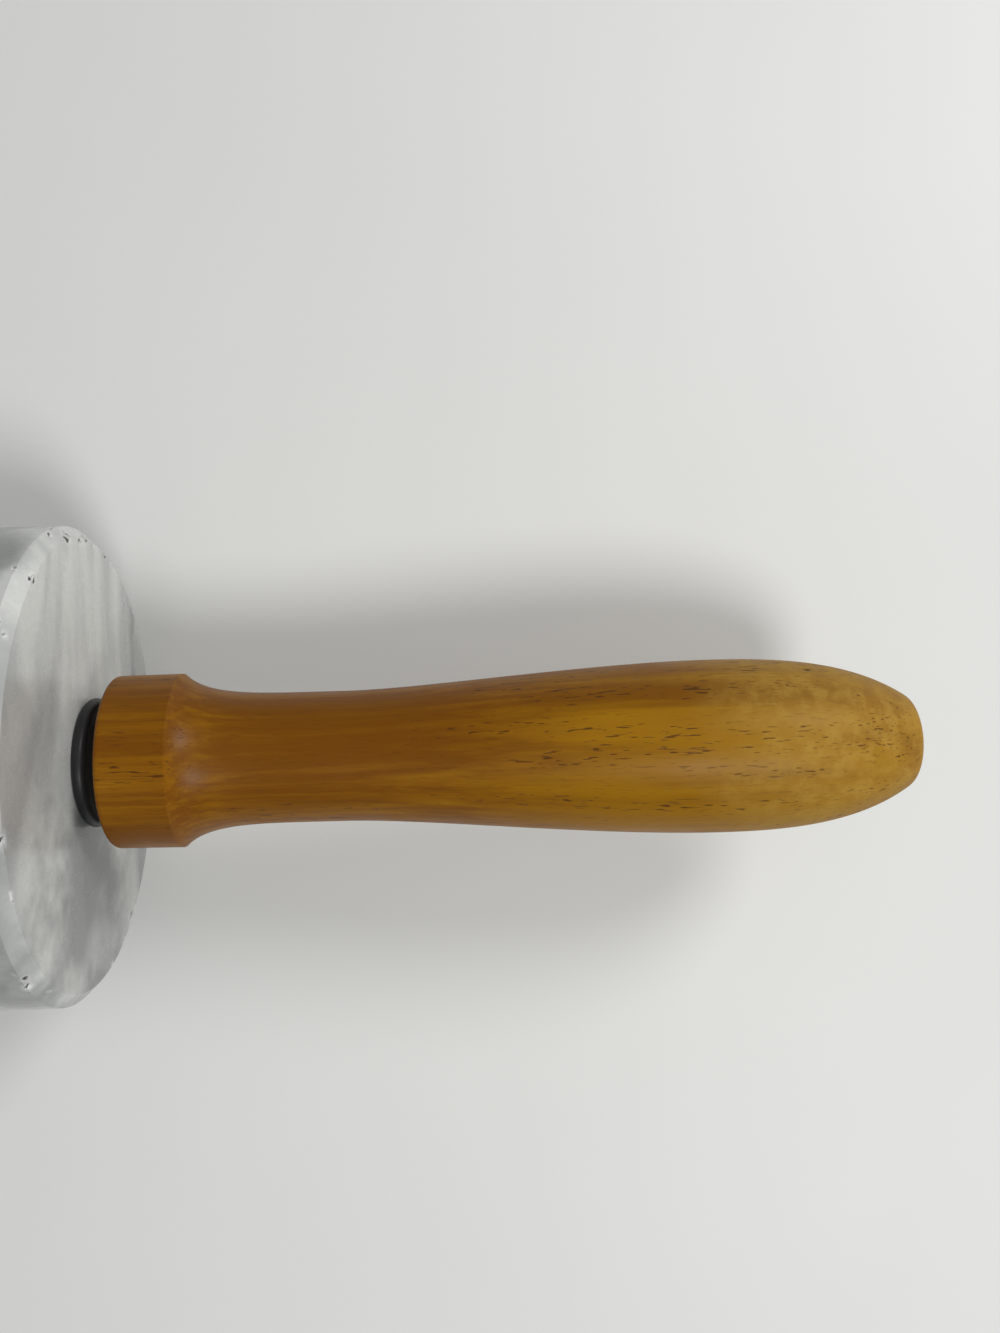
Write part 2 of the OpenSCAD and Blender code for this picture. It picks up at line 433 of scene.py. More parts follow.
def dents_tree():
    """Scatters small dents over the part of a surface that lies far enough out, and marks them."""
    tree = new_tree(
        "Dents", "GeometryNodeTree",
        [
            ("Geometry", "NodeSocketGeometry", None),
            ("Start", "NodeSocketFloat", 0.0),
            ("Stop", "NodeSocketFloat", 1.0),
            ("Inner radius", "NodeSocketFloat", 0.0),
            ("Density", "NodeSocketFloat", 10000.0),
            ("Size", "NodeSocketFloat", 1.0 * MM),
            ("Depth", "NodeSocketFloat", 0.2 * MM),
            ("Stretch", "NodeSocketFloat", 1.0),
            ("Seed", "NodeSocketInt", 1),
            ("Material", "NodeSocketMaterial", None),
        ],
        [("Geometry", "NodeSocketGeometry")],
    )
    nodes = Nodes(tree)
    source = nodes.add("NodeGroupInput")
    setting = source.outputs
    geometry = setting["Geometry"]
    position = nodes.add("GeometryNodeInputPosition").outputs["Position"]

    # Points are scattered between two distances from the middle, outside a given radius
    x, y, z = nodes.split(position)
    from_middle = nodes.absolute(x)
    past_start = nodes.math("GREATER_THAN", from_middle, setting["Start"])
    before_stop = nodes.math("LESS_THAN", from_middle, setting["Stop"])
    far_out = nodes.math("GREATER_THAN", nodes.reach(nodes.join(0.0, y, z)), setting["Inner radius"])
    points = nodes.add(
        "GeometryNodeDistributePointsOnFaces",
        {
            "Mesh": geometry,
            "Selection": nodes.times(past_start, before_stop, far_out),
            "Density": setting["Density"],
            "Seed": setting["Seed"],
        },
    ).outputs["Points"]

    # Each point makes a dent of its own size, small ones being the most common
    nearest = nodes.add(
        "GeometryNodeSampleNearest", {"Geometry": points}, domain="POINT"
    ).outputs["Index"]
    centre = nodes.add(
        "GeometryNodeSampleIndex", {"Geometry": points, "Value": position, "Index": nearest},
        data_type="FLOAT_VECTOR",
    ).outputs["Value"]
    spread = nodes.vector("MULTIPLY", centre, (9731.0, 9173.0, 9377.0))
    chance = nodes.add("ShaderNodeTexWhiteNoise", {"Vector": spread}).outputs["Value"]
    size = nodes.math("POWER", chance, 2.2)

    # A dent is deepest at its point and has a ragged outline
    apart = nodes.vector("SUBTRACT", position, centre)
    squeezed = nodes.vector("MULTIPLY", apart, nodes.join(setting["Stretch"], 1.0, 1.0))
    width = nodes.times(setting["Size"], nodes.plus(0.25, size))
    near = nodes.over(nodes.reach(squeezed), width)
    ragged = nodes.times(nodes.minus(nodes.noise(position, 1800.0), 0.5), 0.8)
    dent = nodes.step(nodes.plus(near, ragged), 0.35, 1.0, 1.0, 0.0)
    depth = nodes.times(nodes.times(setting["Depth"], -1.0), nodes.plus(0.3, size))
    normal = nodes.add("GeometryNodeInputNormal").outputs["Normal"]
    offset = nodes.scaled(normal, nodes.times(dent, depth))

    marked = nodes.add(
        "GeometryNodeStoreNamedAttribute",
        {"Geometry": geometry, "Name": DENT, "Value": dent}, data_type="FLOAT", domain="POINT",
    ).outputs["Geometry"]
    dented = nodes.add(
        "GeometryNodeSetPosition", {"Geometry": marked, "Offset": offset}
    ).outputs["Geometry"]
    finish_geometry(nodes, source, dented)
    return tree


def tree_of(name, build):
    """The node group with this name, built on its first use."""
    return bpy.data.node_groups.get(name) or build()


def shape_with(piece, tree, values):
    """Runs a geometry tree on a piece and keeps the result as its plain mesh."""
    modifier = piece.modifiers.new(tree.name, "NODES")
    modifier.node_group = tree
    for item in tree.interface.items_tree:
        if item.in_out == "INPUT" and item.name in values:
            modifier[item.identifier] = values[item.name]
    bpy.context.view_layer.update()
    shaped = piece.evaluated_get(bpy.context.evaluated_depsgraph_get())
    made = bpy.data.meshes.new_from_object(shaped)
    if not made.polygons:
        raise RuntimeError(f"{tree.name} left {piece.name} without faces")
    piece.modifiers.remove(modifier)
    before = piece.data
    piece.data = made
    bpy.data.meshes.remove(before)
    made.name = piece.name


def turned_piece(name, outline, material, segments, crease):
    """A piece turned from an outline of (distance along X, radius) points, with outward faces."""
    line = bpy.data.meshes.new(name)
    edges = [(i, i + 1) for i in range(len(outline) - 1)]
    line.from_pydata([(x, radius, 0.0) for x, radius in outline], edges, [])
    piece = bpy.data.objects.new(name, line)
    bpy.context.scene.collection.objects.link(piece)
    shape_with(piece, tree_of("Lathe", lathe_tree), {"Segments": segments, "Material": material})
    point_outwards(piece.data)
    smooth(piece.data, crease)
    return piece


def point_outwards(mesh):
    """Turns every face of a closed mesh outwards."""
    shell = bmesh.new()
    shell.from_mesh(mesh)
    bmesh.ops.recalc_face_normals(shell, faces=shell.faces)
    shell.to_mesh(mesh)
    shell.free()


def smooth(mesh, crease):
    """Shades a mesh smoothly, but keeps the edges that are sharper than crease degrees crisp."""
    mesh.shade_smooth()
    mesh.set_sharp_from_angle(angle=math.radians(crease))


def mirrored(piece, name):
    """A mirror image of a piece at the other end of the pin, turned about the axis."""
    mesh = piece.data.copy()
    mesh.transform(Matrix.Rotation(LEFT_TURN, 4, "X") @ Matrix.Scale(-1.0, 4, (1.0, 0.0, 0.0)))
    mesh.flip_normals()
    other = bpy.data.objects.new(name, mesh)
    bpy.context.scene.collection.objects.link(other)
    return other


def settle(piece, body, node):
    """Makes a finished piece ride on its body and stand for its node."""
    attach(piece, body)
    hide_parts(node)


def cubic(a, b, c, d, steps):
    """Points along a cubic curve from a to d with control points b and c, without its last point."""
    points = []
    for i in range(steps):
        t = i / steps
        u = 1.0 - t
        points.append(tuple(
            u ** 3 * a[k] + 3 * u * u * t * b[k] + 3 * u * t * t * c[k] + t ** 3 * d[k] for k in (0, 1)
        ))
    return points


def arc(centre, radius, start, stop, steps):
    """Points along an arc in the outline plane, angles in degrees, both ends included."""
    angles = [math.radians(start + (stop - start) * i / steps) for i in range(steps + 1)]
    return [(centre[0] + radius * math.cos(a), centre[1] + radius * math.sin(a)) for a in angles]


def straight(a, b, steps):
    """Points along a straight line, without its last point."""
    return [
        (a[0] + (b[0] - a[0]) * i / steps, a[1] + (b[1] - a[1]) * i / steps) for i in range(steps)
    ]


def smudge_group():
    """Handling marks: broad smudges and fine hairline scratches, as masks."""
    tree = new_tree(
        "Handling marks", "ShaderNodeTree",
        [("Vector", "NodeSocketVector", None), ("Amount", "NodeSocketFloat", 0.5)],
        [("Smudge", "NodeSocketFloat"), ("Scratch", "NodeSocketFloat")],
    )
    nodes = Nodes(tree)
    source = nodes.add("NodeGroupInput")
    where, amount = source.outputs["Vector"], source.outputs["Amount"]
    smudge = nodes.step(nodes.noise(where, 90.0, 4.0, 0.6), 0.42, 0.68)
    slanted = nodes.stretch(where, (260.0, 4200.0, 3100.0), (0.4, 0.2, 0.7))
    hairline = nodes.step(nodes.noise(slanted, 1.0, 2.0), 0.66, 0.74)
    result = nodes.add("NodeGroupOutput")
    nodes.feed(result.inputs["Smudge"], nodes.times(smudge, amount))
    nodes.feed(result.inputs["Scratch"], nodes.times(hairline, amount))
    return tree


def new_material(name):
    """A new material: itself, its nodes, its Principled shader and its Object coordinates."""
    material = bpy.data.materials.new(name)
    material.use_nodes = True
    material.node_tree.nodes.clear()
    nodes = Nodes(material.node_tree)
    shader = nodes.add("ShaderNodeBsdfPrincipled")
    nodes.add("ShaderNodeOutputMaterial", {"Surface": shader.outputs["BSDF"]})
    return material, nodes, shader, nodes.add("ShaderNodeTexCoord").outputs["Object"]


def handling_marks(nodes, where, amount):
    """Places the shared handling marks in a material."""
    group = nodes.add("ShaderNodeGroup", node_tree=tree_of("Handling marks", smudge_group))
    nodes.feed(group.inputs["Vector"], where)
    nodes.feed(group.inputs["Amount"], amount)
    return group.outputs["Smudge"], group.outputs["Scratch"]


def dent_mask(nodes):
    """The mask of the dented places."""
    return nodes.add("ShaderNodeAttribute", attribute_name=DENT).outputs["Fac"]


def bump(nodes, shader, height, strength, distance):
    """Feeds a height to the shader's normal."""
    inputs = {"Strength": strength, "Distance": distance, "Height": height}
    nodes.feed(shader.inputs["Normal"], nodes.add("ShaderNodeBump", inputs).outputs["Normal"])


def marble_veins(nodes, where, warped):
    """How much of the dark vein colour shows: two slanting bands, one level sheet and thin wisps."""
    x, y, z = nodes.split(where)
    patchy = nodes.step(nodes.noise(where, 55.0, 3.0), 0.32, 0.54)
    sway = nodes.times(nodes.minus(nodes.noise(where, 38.0, 4.0, 0.6), 0.5), 11.0 * MM)

    # Each band lies where a slanting plane passes, given as (place, lean, half width)
    bands = 0.0
    for place, lean, width in ((61.0 * MM, 0.35, 7.0 * MM), (74.5 * MM, 0.10, 4.0 * MM)):
        slope = nodes.plus(nodes.times(x, 0.62), nodes.times(y, lean))
        cross = nodes.plus(nodes.minus(slope, place), nodes.times(sway, 1.8))
        band = nodes.step(nodes.absolute(cross), 0.4 * MM, width, 1.0, 0.0)
        bands = nodes.most(bands, nodes.times(band, patchy))

    # The sheet lies low in the barrel, level with the table
    height = nodes.plus(nodes.plus(z, 20.5 * MM), sway)
    sheet = nodes.times(nodes.step(nodes.absolute(height), 0.2 * MM, 2.6 * MM, 1.0, 0.0), patchy)

    # The wisps follow the middle values of a warped pattern, in some places only
    pattern = nodes.noise(nodes.vector("ADD", warped, (4.2, 1.7, 3.3)), 1.2, 3.0, 0.52)
    wisp = nodes.step(nodes.absolute(nodes.minus(pattern, 0.5)), 0.0, 0.060, 1.0, 0.0)
    wisps = nodes.times(wisp, nodes.step(nodes.noise(where, 26.0, 2.0), 0.48, 0.66))

    veins = nodes.most(nodes.times(sheet, 0.62), nodes.times(bands, 0.80))
    return nodes.most(veins, nodes.times(wisps, 0.26))


def marble_material(barrel):
    """Grey-white marble in soft beds, with warped darker veins, crystals and grimy chips that are
    painted pale, partly as a painted glint.
    """
    material, nodes, shader, where = new_material("marble")

    # Soft clouds lie in beds across Z, and a slow drift bends the beds
    beds = nodes.stretch(where, (8.0, 14.0, 42.0), (0.10, 0.10, 0.15), (0.37, 0.21, 0.64))
    drift = nodes.vector("SUBTRACT", nodes.noise(beds, 0.8, 2.0, output="Color"), (0.5, 0.5, 0.5))
    warped = nodes.vector("ADD", beds, nodes.vector("MULTIPLY", drift, (1.1, 1.1, 1.1)))
    cloudy = nodes.step(nodes.noise(warped, 1.5, 3.5, 0.5), 0.42, 0.66)
    base = nodes.mix(cloudy, opaque(barrel.pale), opaque(barrel.cloud))
    veined = nodes.mix(marble_veins(nodes, where, warped), base, opaque(barrel.vein))

    # Crystals under a millimetre across differ a little in shade
    crystal = nodes.add("ShaderNodeTexVoronoi", {"Vector": where, "Scale": 1500.0}).outputs["Color"]
    sparkle = nodes.minus(nodes.split(crystal)["X"], 0.5)
    shade = nodes.plus(1.0, nodes.times(sparkle, 0.07))
    grained = nodes.mix(1.0, veined, nodes.join(shade, shade, shade), "MULTIPLY")

    # A chip is painted pale, as a fresh break and also as a painted glint on its crystals, and specks of
    # dirt lie in it
    dent = dent_mask(nodes)
    broken_and_glinting = nodes.mix(dent, grained, opaque(barrel.broken_and_glinting))
    speck = nodes.step(nodes.noise(where, 1400.0, 2.0), 0.44, 0.60)
    dirty = nodes.times(nodes.step(dent, 0.25, 0.8), speck)
    nodes.feed(shader.inputs["Base Color"], nodes.mix(dirty, broken_and_glinting, opaque(barrel.grime)))

    # The round side is polished, and the end faces a little less
    smudge, scratch = handling_marks(nodes, where, 0.7)
    from_middle = nodes.absolute(nodes.split(where)["X"])
    on_end = nodes.step(from_middle, BARREL_END - 0.05 * MM, BARREL_END - 0.01 * MM)
    gloss = nodes.plus(0.13, nodes.times(on_end, 0.09))
    gloss = nodes.plus(gloss, nodes.times(smudge, 0.10))
    gloss = nodes.plus(gloss, nodes.times(nodes.most(dent, scratch), 0.30))
    nodes.feed(shader.inputs["Roughness"], gloss)
    relief = nodes.plus(nodes.times(sparkle, 0.25), nodes.noise(where, 700.0, 3.0))
    bump(nodes, shader, nodes.minus(relief, scratch), 0.10, 0.05 * MM)
    shader.inputs["IOR"].default_value = 1.56
    return material


def wood_material(handle):
    """Amber varnished wood with straight grain, short dark pores and a dull nose where the varnish
    wears, painted paler there also as a painted highlight.
    """
    material, nodes, shader, where = new_material("varnished_wood")
    along = nodes.minus(nodes.absolute(nodes.split(where)["X"]), HANDLE_FACE)

    # Every pattern is drawn out along X, and a slow bend keeps the fibres from being ruler straight
    bend = nodes.vector("SUBTRACT", nodes.noise(where, 22.0, 2.0, output="Color"), (0.5, 0.5, 0.5))
    fibres = nodes.vector("ADD", where, nodes.vector("MULTIPLY", bend, (0.0, 1.3 * MM, 1.3 * MM)))
    broad = nodes.noise(nodes.stretch(fibres, (9.0, 210.0, 210.0)), 1.0, 3.0, 0.55)
    fine = nodes.noise(nodes.stretch(fibres, (34.0, 1150.0, 1150.0)), 1.0, 3.0, 0.6)
    patches = nodes.noise(nodes.stretch(where, (42.0, 80.0, 80.0), shift=(0.3, 0.6, 0.1)), 1.0, 3.0)

    # Brown and gold streaks run through the amber, and the swell turns golden
    grain = nodes.plus(nodes.times(broad, 0.55), nodes.times(fine, 0.45))
    base = nodes.mix(nodes.step(grain, 0.40, 0.60), opaque(handle.brown), opaque(handle.amber))
    base = nodes.mix(nodes.step(grain, 0.55, 0.74), base, opaque(handle.gold))
    swell = nodes.step(along, 42 * MM, 66 * MM)
    golden = nodes.times(swell, nodes.step(broad, 0.34, 0.60, 0.15, 0.85))
    base = nodes.mix(golden, base, opaque(handle.gold))

    # The neck is the most stained by hands
    past_collar = nodes.step(along, 12 * MM, 24 * MM)
    neck = nodes.times(past_collar, nodes.step(along, 34 * MM, 62 * MM, 1.0, 0.0))
    stain = nodes.times(nodes.plus(nodes.times(neck, 0.45), 0.12), nodes.step(patches, 0.34, 0.62))
    base = nodes.mix(stain, base, opaque(handle.brown))

    # The varnish wears off the nose behind an uneven edge, and the paler colour there is also a painted
    # highlight that stands in for the lamp's sheen
    edge = nodes.plus(along, nodes.times(nodes.minus(patches, 0.5), 26 * MM))
    mottle = nodes.step(nodes.noise(where, 420.0, 4.0, 0.65), 0.38, 0.66, 0.45, 1.0)
    worn_and_highlit = nodes.times(nodes.step(edge, 72 * MM, 86 * MM), mottle)
    base = nodes.mix(nodes.times(worn_and_highlit, 0.72), base, opaque(handle.bare_and_highlit))

    # Short pores crowd in some strips of the grain
    pores = nodes.noise(nodes.stretch(fibres, (430.0, 3600.0, 3600.0), shift=(7.0, 3.0, 5.0)), 1.0, 1.0)
    strips = nodes.step(nodes.noise(nodes.stretch(fibres, (18.0, 260.0, 260.0)), 1.0, 2.0), 0.48, 0.62)
    pore = nodes.times(nodes.step(pores, 0.60, 0.70), nodes.plus(0.25, strips))
    base = nodes.mix(nodes.times(pore, 0.62), base, opaque(handle.pore))
    nicked = nodes.times(nodes.step(dent_mask(nodes), 0.2, 0.9), 0.85)
    nodes.feed(shader.inputs["Base Color"], nodes.mix(nicked, base, opaque(handle.nick)))

    smudge, scratch = handling_marks(nodes, where, 0.8)
    rough = nodes.plus(0.40, nodes.times(worn_and_highlit, 0.18))
    rough = nodes.plus(rough, nodes.times(smudge, 0.10))
    nodes.feed(shader.inputs["Roughness"], nodes.plus(rough, nodes.times(scratch, 0.15)))
    nodes.feed(shader.inputs["Coat Weight"], nodes.minus(0.05, nodes.times(worn_and_highlit, 0.05)))
    shader.inputs["Coat Roughness"].default_value = 0.24
    shader.inputs["Specular IOR Level"].default_value = 0.13
    relief = nodes.minus(nodes.times(fine, 0.6), nodes.times(pore, 0.9))
    relief = nodes.plus(relief, nodes.times(nodes.noise(where, 260.0, 2.0), 1.2))
    bump(nodes, shader, relief, 0.35, 0.08 * MM)
    return material


def plastic_material(barrel):
    """Black moulded plastic with a faint grain and rubbed marks."""
    material, nodes, shader, where = new_material("black_plastic")
    smudge, scratch = handling_marks(nodes, where, 0.8)
    dusty = nodes.plus(nodes.times(smudge, 0.35), nodes.times(scratch, 0.5))
    base = nodes.mix(dusty, opaque(barrel.plastic), opaque(barrel.rubbed))
    nodes.feed(shader.inputs["Base Color"], base)
    nodes.feed(shader.inputs["Roughness"], nodes.plus(0.34, nodes.times(smudge, 0.2)))
    bump(nodes, shader, nodes.noise(where, 2600.0, 3.0), 0.18, 0.03 * MM)
    shader.inputs["Specular IOR Level"].default_value = 0.25
    return material


def metal_material(name, bright, marks):
    """Bare metal with fine machining marks, drawn out by the scales in marks, and duller patches."""
    material, nodes, shader, where = new_material(name)
    lines = nodes.noise(nodes.stretch(where, marks), 1.0, 3.0)
    patches = nodes.step(nodes.noise(where, 160.0, 4.0), 0.40, 0.70)
    dull = [0.55 * value for value in bright]
    nodes.feed(shader.inputs["Base Color"], nodes.mix(patches, opaque(bright), opaque(dull)))
    shader.inputs["Metallic"].default_value = 1.0
    nodes.feed(shader.inputs["Roughness"], nodes.plus(0.22, nodes.times(lines, 0.25)))
    bump(nodes, shader, lines, 0.25, 0.02 * MM)
    return material


def table_material(stage):
    """A pale matte table with faint mottling and a few dust specks."""
    material, nodes, shader, where = new_material("table")
    tone = nodes.step(nodes.noise(where, 9.0, 4.0), 0.3, 0.7, 0.97, 1.0)
    pale = nodes.mix(1.0, opaque(stage.table), nodes.join(tone, tone, tone), "MULTIPLY")
    cell = nodes.add("ShaderNodeTexVoronoi", {"Vector": where, "Scale": 55.0})
    rare = nodes.math("GREATER_THAN", nodes.split(cell.outputs["Color"])["X"], 0.90)
    speck = nodes.times(nodes.step(cell.outputs["Distance"], 0.010, 0.022, 1.0, 0.0), rare)
    nodes.feed(shader.inputs["Base Color"], nodes.mix(nodes.times(speck, 0.6), pale, opaque(stage.dust)))
    shader.inputs["Roughness"].default_value = 0.55
    return material


def barrel_outline(barrel):
    """Half the cross-section of the bored, bevelled barrel, as a closed ring."""
    end, radius, bevel = BARREL_END, BARREL_RADIUS, barrel.edge_bevel
    bore, mouth = barrel.bore_radius, barrel.bore_bevel
    # The facets are small on and near the edges, where the chips are
    near = 4 * bevel
    bevel_steps, near_face_steps, near_side_steps = 6, 18, 12
    face_steps, side_steps = 26, 90
    right = (
        straight((end - bevel, radius), (end, radius - bevel), bevel_steps)
        + straight((end, radius - bevel), (end, radius - near), near_face_steps)
        + straight((end, radius - near), (end, bore + mouth), face_steps)
        + [(end, bore + mouth), (end - mouth, bore)]
    )
    left = [(-x, r) for x, r in reversed(right)]
    side = (
        straight((-end + bevel, radius), (-end + near, radius), near_side_steps)[1:]
        + straight((-end + near, radius), (end - near, radius), side_steps)
        + straight((end - near, radius), (end - bevel, radius), near_side_steps)
    )
    return left + side + right + [left[0]]


def bushing_outline(barrel):
    """Half the cross-section of a flanged bushing, as a closed ring."""
    bore = ROD_RADIUS + barrel.run_gap
    sleeve = barrel.bore_radius - barrel.glue_gap
    rounding = (FLANGE_FACE - BARREL_END) / 2
    mouth = barrel.mouth_bevel
    start = [(SLEEVE_END, bore + mouth), (SLEEVE_END, sleeve - barrel.sleeve_lead / 2)]
    return (
        start
        + straight((SLEEVE_END + barrel.sleeve_lead, sleeve), (BARREL_END, sleeve), 12)
        + [(BARREL_END, sleeve)]
        + arc((BARREL_END + rounding, FLANGE_RADIUS - rounding), rounding, 180, 0, 24)
        + [(FLANGE_FACE, bore + mouth), (FLANGE_FACE - mouth, bore)]
        + [(SLEEVE_END + mouth, bore), start[0]]
    )


def handle_outline(handle):
    """Half the cross-section of a handle with its drilled hole, from the axis round to the tip."""
    neck_at = handle.collar_length + handle.cove_length
    belly_at = neck_at + handle.swell_length
    end_at = HANDLE_END - HANDLE_FACE
    shoulder_at = end_at - handle.end_length
    nose = shoulder_at - belly_at

    # Places where one curve meets the next, as (distance from the inner face, radius)
    rim = handle.rim_round
    ridge = (handle.collar_length, handle.collar_radius)
    neck = (neck_at, handle.neck_radius)
    belly = (belly_at, BELLY_RADIUS)
    shoulder = (shoulder_at, handle.shoulder_radius)

    # Control points, each a share of the curve's own length or drop away from its end
    drop = 1.15 * (handle.collar_radius - handle.neck_radius)
    along, down = math.cos(handle.shoulder_angle), -math.sin(handle.shoulder_angle)
    after_ridge = (ridge[0] + drop / math.tan(handle.cove_angle), ridge[1] - drop)
    before_neck = (neck[0] - 0.51 * handle.cove_length, neck[1])
    after_neck = (neck[0] + 0.22 * handle.swell_length, neck[1])
    before_belly = (belly[0] - 0.34 * handle.swell_length, belly[1])
    after_belly = (belly[0] + 0.35 * nose, belly[1])
    before_shoulder = (shoulder[0] - 0.34 * nose * along, shoulder[1] - 0.34 * nose * down)
    turn = 0.9 * handle.end_length
    after_shoulder = (shoulder[0] + turn * along, shoulder[1] + turn * down)
    before_tip = (end_at, 0.83 * handle.shoulder_radius)
    tip = (end_at, 0.0)

    drill_tip = handle.hole_depth + handle.hole_radius / math.tan(DRILL_POINT / 2)
    hole = [
        (drill_tip, 0.0),
        (handle.hole_depth, handle.hole_radius),
        (handle.seat_depth, handle.hole_radius),
        (handle.seat_depth, handle.seat_radius),
        (0.0, handle.seat_radius),
    ]
    outside = (
        arc((rim, handle.rim_radius - rim), rim, 180, 90, 8)
        + straight((rim, handle.rim_radius), ridge, 18)[1:]
        + cubic(ridge, after_ridge, before_neck, neck, 40)
        + cubic(neck, after_neck, before_belly, belly, 70)
        + cubic(belly, after_belly, before_shoulder, shoulder, 60)
        + cubic(shoulder, after_shoulder, before_tip, tip, 24)
        + [tip]
    )
    return [(HANDLE_FACE + x, radius) for x, radius in hole + outside]


class ROLLINGPIN_OT_barrel(bpy.types.Operator):
    """Make the marble barrel with chipped edges"""

    bl_idname = "rollingpin.barrel"
    bl_label = "Marble Barrel"

    chips: number("Chips", "Chips on each square metre of the end edges", 160000.0)
    seed: fixed_seed(7)

    def execute(self, context):
        barrel = context.scene.rolling_pin_barrel
        marble = marble_material(barrel)
        outline = barrel_outline(barrel)
        piece = turned_piece("marble_barrel_dressed", outline, marble, ROUND_SEGMENTS, crease=30.0)
        shape_with(piece, tree_of("Dents", dents_tree), {
            "Start": BARREL_END - 1.3 * barrel.edge_bevel,
            "Stop": BARREL_END + barrel.edge_bevel,
            "Inner radius": BARREL_RADIUS - 1.2 * barrel.edge_bevel,
            "Density": self.chips,
            "Size": barrel.chip_size,
            "Depth": barrel.chip_depth,
            "Seed": self.seed,
            "Material": marble,
        })
        settle(piece, "barrel", "marble_barrel")
        return {"FINISHED"}


class ROLLINGPIN_OT_bushings(bpy.types.Operator):
    """Make the two black flanged bushings"""

    bl_idname = "rollingpin.bushings"
    bl_label = "Bushings"

    def execute(self, context):
        barrel = context.scene.rolling_pin_barrel
        plastic = plastic_material(barrel)
        outline = bushing_outline(barrel)
        right = turned_piece("bushing_right_dressed", outline, plastic, FLANGE_SEGMENTS, crease=35.0)
        left = mirrored(right, "bushing_left_dressed")
        settle(right, "barrel", "bushing_right")
        settle(left, "barrel", "bushing_left")
        return {"FINISHED"}


class ROLLINGPIN_OT_rod(bpy.types.Operator):
    """Make the steel rod with its threaded ends"""

    bl_idname = "rollingpin.rod"
    bl_label = "Axle Rod"

    thread_radius: length("Thread radius", "Radius over the threads", 3.0)
    thread_pitch: length("Thread pitch", "Distance between turns of the thread", 1.0)
    thread_depth: length("Thread depth", "Depth of the thread", 0.55)
    thread_start: length("Thread start", "Plain length next to the shoulder", 0.4)
    thread_stop: length("Thread stop", "Plain length at the tip", 0.3)
    tip_bevel: length("Tip bevel", "Bevel at each tip", 0.8)
    steel: colour("Steel", "Colour of the rod", (0.56, 0.57, 0.59))

    def execute(self, context):
        steel = metal_material("steel", self.steel, (60.0, 2600.0, 2600.0))
        radius, bevel = self.thread_radius, self.tip_bevel
        right = (
            straight((0.0, ROD_RADIUS), (HANDLE_FACE, ROD_RADIUS), 12)
            + [(HANDLE_FACE, ROD_RADIUS)]
            + straight((HANDLE_FACE, radius), (ROD_END - bevel, radius), 110)
            + [(ROD_END - bevel, radius), (ROD_END, radius - bevel), (ROD_END, 0.0)]
        )
        outline = [(-x, r) for x, r in reversed(right[1:])] + right
        rod = turned_piece("axle_rod_dressed", outline, steel, SMALL_SEGMENTS, crease=40.0)
        shape_with(rod, tree_of("Screw thread", thread_tree), {
            "Start": HANDLE_FACE + self.thread_start,
            "Stop": ROD_END - self.thread_stop,
            "Pitch": self.thread_pitch,
            "Depth": self.thread_depth,
            "Inner radius": 0.5 * radius,
            "Material": steel,
        })
        settle(rod, "handles", "axle_rod")
        return {"FINISHED"}


class ROLLINGPIN_OT_inserts(bpy.types.Operator):
    """Make the two threaded inserts with their coarse wood threads"""

    bl_idname = "rollingpin.inserts"
    bl_label = "Threaded Inserts"

    body_radius: length("Body radius", "Radius over the coarse thread", 4.95)
    bore_radius: length("Bore radius", "Radius of the tapped hole", 3.05)
    flange_thickness: length("Flange thickness", "Thickness of the flange", 1.2)
    socket_radius: length("Socket radius", "Radius of the recess for the key", 3.45)
    socket_depth: length("Socket depth", "Depth of that recess", 4.0)
    thread_pitch: length("Thread pitch", "Distance between turns of the coarse thread", 2.5)
    thread_depth: length("Thread depth", "Depth of the coarse thread", 0.8)
    thread_start: length("Thread start", "Plain length next to the flange", 0.2)
    brass: colour("Brass", "Colour of the inserts", (0.72, 0.54, 0.22))

    def execute(self, context):
        brass = metal_material("brass", self.brass, (2400.0, 160.0, 160.0))
        face = HANDLE_FACE
        seat = face + self.flange_thickness
        floor = face + self.socket_depth
        outline = (
            [(face, self.socket_radius), (face, INSERT_FLANGE_RADIUS), (seat, INSERT_FLANGE_RADIUS)]
            + straight((seat, self.body_radius), (INSERT_END, self.body_radius), 90)
            + [(INSERT_END, self.body_radius), (INSERT_END, self.bore_radius)]
            + [(floor, self.bore_radius), (floor, self.socket_radius), (face, self.socket_radius)]
        )
        right = turned_piece("thread_insert_right_dressed", outline, brass, SMALL_SEGMENTS, crease=40.0)
        shape_with(right, tree_of("Screw thread", thread_tree), {
            "Start": seat + self.thread_start,
            "Stop": INSERT_END,
            "Pitch": self.thread_pitch,
            "Depth": self.thread_depth,
            "Inner radius": 0.9 * self.body_radius,
            "Material": brass,
        })
        left = mirrored(right, "thread_insert_left_dressed")
        settle(right, "handles", "thread_insert_right")
        settle(left, "handles", "thread_insert_left")
        return {"FINISHED"}


